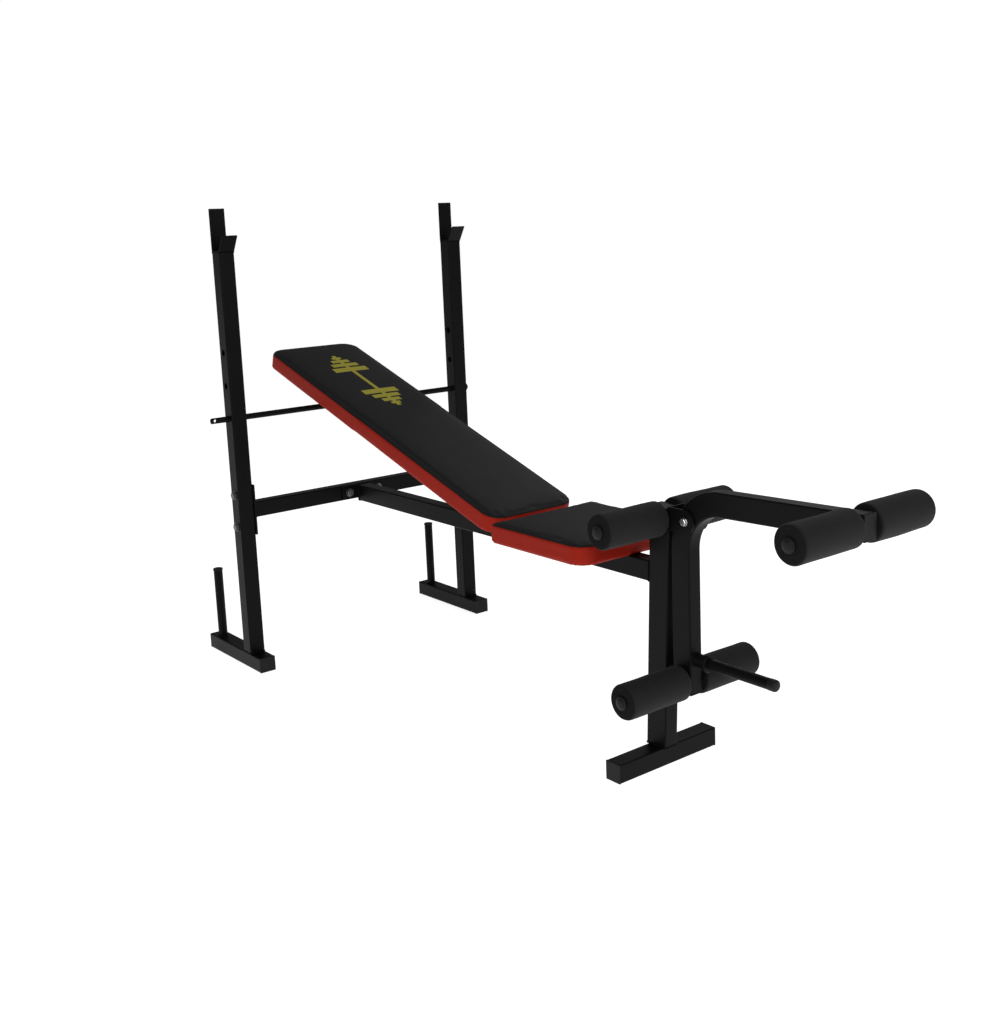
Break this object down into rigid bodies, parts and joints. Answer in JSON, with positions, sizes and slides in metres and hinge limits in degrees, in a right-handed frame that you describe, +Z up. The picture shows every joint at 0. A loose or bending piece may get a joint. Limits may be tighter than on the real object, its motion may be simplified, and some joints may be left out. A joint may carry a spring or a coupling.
{
  "type": "adjustable weight bench",
  "caption": "Weight bench with inclined back pad on an adjusting rod, flat seat, bar uprights with cradles, plate pegs, thigh rollers and a pivoting leg developer.",
  "frame": {"origin": "on the floor under the middle of the front foot, on the plane of symmetry", "axes": "+X towards the leg developer, +Y to the left of a user sitting on the seat and facing +X, +Z up"},
  "size_m": [1.7767, 0.7405, 1.1],
  "materials": {
    "black_paint": "satin black powder coat",
    "black_plastic": "moulded black",
    "zinc": "bright zinc plate",
    "black_foam": "matte skinned foam",
    "vinyl": "soft vinyl, black top with red-orange side band",
    "board": "raw fibreboard"
  },
  "bodies": {
    "frame": {"foot_right": "black_paint", "foot_left": "black_paint", "plate_peg_right": "black_paint", "plate_peg_left": "black_paint", "upright_right": "black_paint", "upright_left": "black_paint", "bar_cradle_right": "black_paint", "bar_cradle_left": "black_paint", "cross_plate_right": "black_paint", "cross_plate_left": "black_paint", "cross_member": "black_paint", "beam_flange": "black_paint", "main_beam": "black_paint", "front_foot": "black_paint", "front_post": "black_paint", "pivot_bracket": "black_paint", "thigh_tube": "black_paint", "foot_cap_rear_right": "black_plastic", "foot_cap_rear_left": "black_plastic", "foot_cap_front_right": "black_plastic", "foot_cap_front_left": "black_plastic", "peg_cap_right": "black_plastic", "peg_cap_left": "black_plastic", "front_foot_cap_right": "black_plastic", "front_foot_cap_left": "black_plastic", "thigh_plug_right": "black_plastic", "thigh_plug_left": "black_plastic", "cross_bolt_low_right": "zinc", "cross_bolt_low_left": "zinc", "cross_bolt_high_right": "zinc", "cross_bolt_high_left": "zinc", "flange_bolt_right": "zinc", "flange_bolt_left": "zinc", "hinge_bolt": "zinc", "pivot_bolt": "zinc", "seat_pad": "vinyl", "seat_board": "board"},
    "back_rest": {"back_board": "board", "back_pad": "vinyl", "back_rail_right": "black_paint", "back_rail_left": "black_paint"},
    "adjusting_rod": {"adjusting_rod": "black_paint", "rod_head": "black_paint"},
    "leg_developer": {"leg_lever": "black_paint", "lever_cap_bottom": "black_plastic", "lever_cap_front": "black_plastic", "plate_bar": "black_paint", "plate_bar_cap": "black_plastic", "arm_tube": "black_paint", "arm_plug_right": "black_plastic", "arm_plug_left": "black_plastic", "lower_tube": "black_paint", "lower_plug_right": "black_plastic", "lower_plug_left": "black_plastic"},
    "thigh_roller_right": {"thigh_foam_right": "black_foam"},
    "thigh_roller_left": {"thigh_foam_left": "black_foam"},
    "arm_roller_right": {"arm_foam_right": "black_foam"},
    "arm_roller_left": {"arm_foam_left": "black_foam"},
    "lower_roller_right": {"lower_foam_right": "black_foam"},
    "lower_roller_left": {"lower_foam_left": "black_foam"}
  },
  "joints": [
    {"name": "back_rest_hinge", "type": "hinge", "parent": "frame", "child": "back_rest", "pos_m": [-0.368, 0, 0.3965], "axis": [0, 1, 0], "range_deg": [0, 20]},
    {"name": "rod_slide", "type": "slide", "parent": "frame", "child": "adjusting_rod", "axis": [0, 1, 0], "range_m": [0, 0.69]},
    {"name": "leg_developer_hinge", "type": "hinge", "parent": "frame", "child": "leg_developer", "pos_m": [0.0896, 0, 0.497], "axis": [0, -1, 0], "range_deg": [0, 70]},
    {"name": "thigh_roller_spin_right", "type": "hinge", "parent": "frame", "child": "thigh_roller_right", "pos_m": [0.021, -0.094, 0.493], "axis": [0, 1, 0], "continuous": true},
    {"name": "thigh_roller_spin_left", "type": "hinge", "parent": "frame", "child": "thigh_roller_left", "pos_m": [0.021, 0.094, 0.493], "axis": [0, 1, 0], "continuous": true},
    {"name": "arm_roller_spin_right", "type": "hinge", "parent": "leg_developer", "child": "arm_roller_right", "pos_m": [0.453, -0.094, 0.54753], "axis": [0, 1, 0], "continuous": true},
    {"name": "arm_roller_spin_left", "type": "hinge", "parent": "leg_developer", "child": "arm_roller_left", "pos_m": [0.453, 0.094, 0.54753], "axis": [0, 1, 0], "continuous": true},
    {"name": "lower_roller_spin_right", "type": "hinge", "parent": "leg_developer", "child": "lower_roller_right", "pos_m": [0.072, -0.094, 0.187], "axis": [0, 1, 0], "continuous": true},
    {"name": "lower_roller_spin_left", "type": "hinge", "parent": "leg_developer", "child": "lower_roller_left", "pos_m": [0.072, 0.094, 0.187], "axis": [0, 1, 0], "continuous": true}
  ]
}
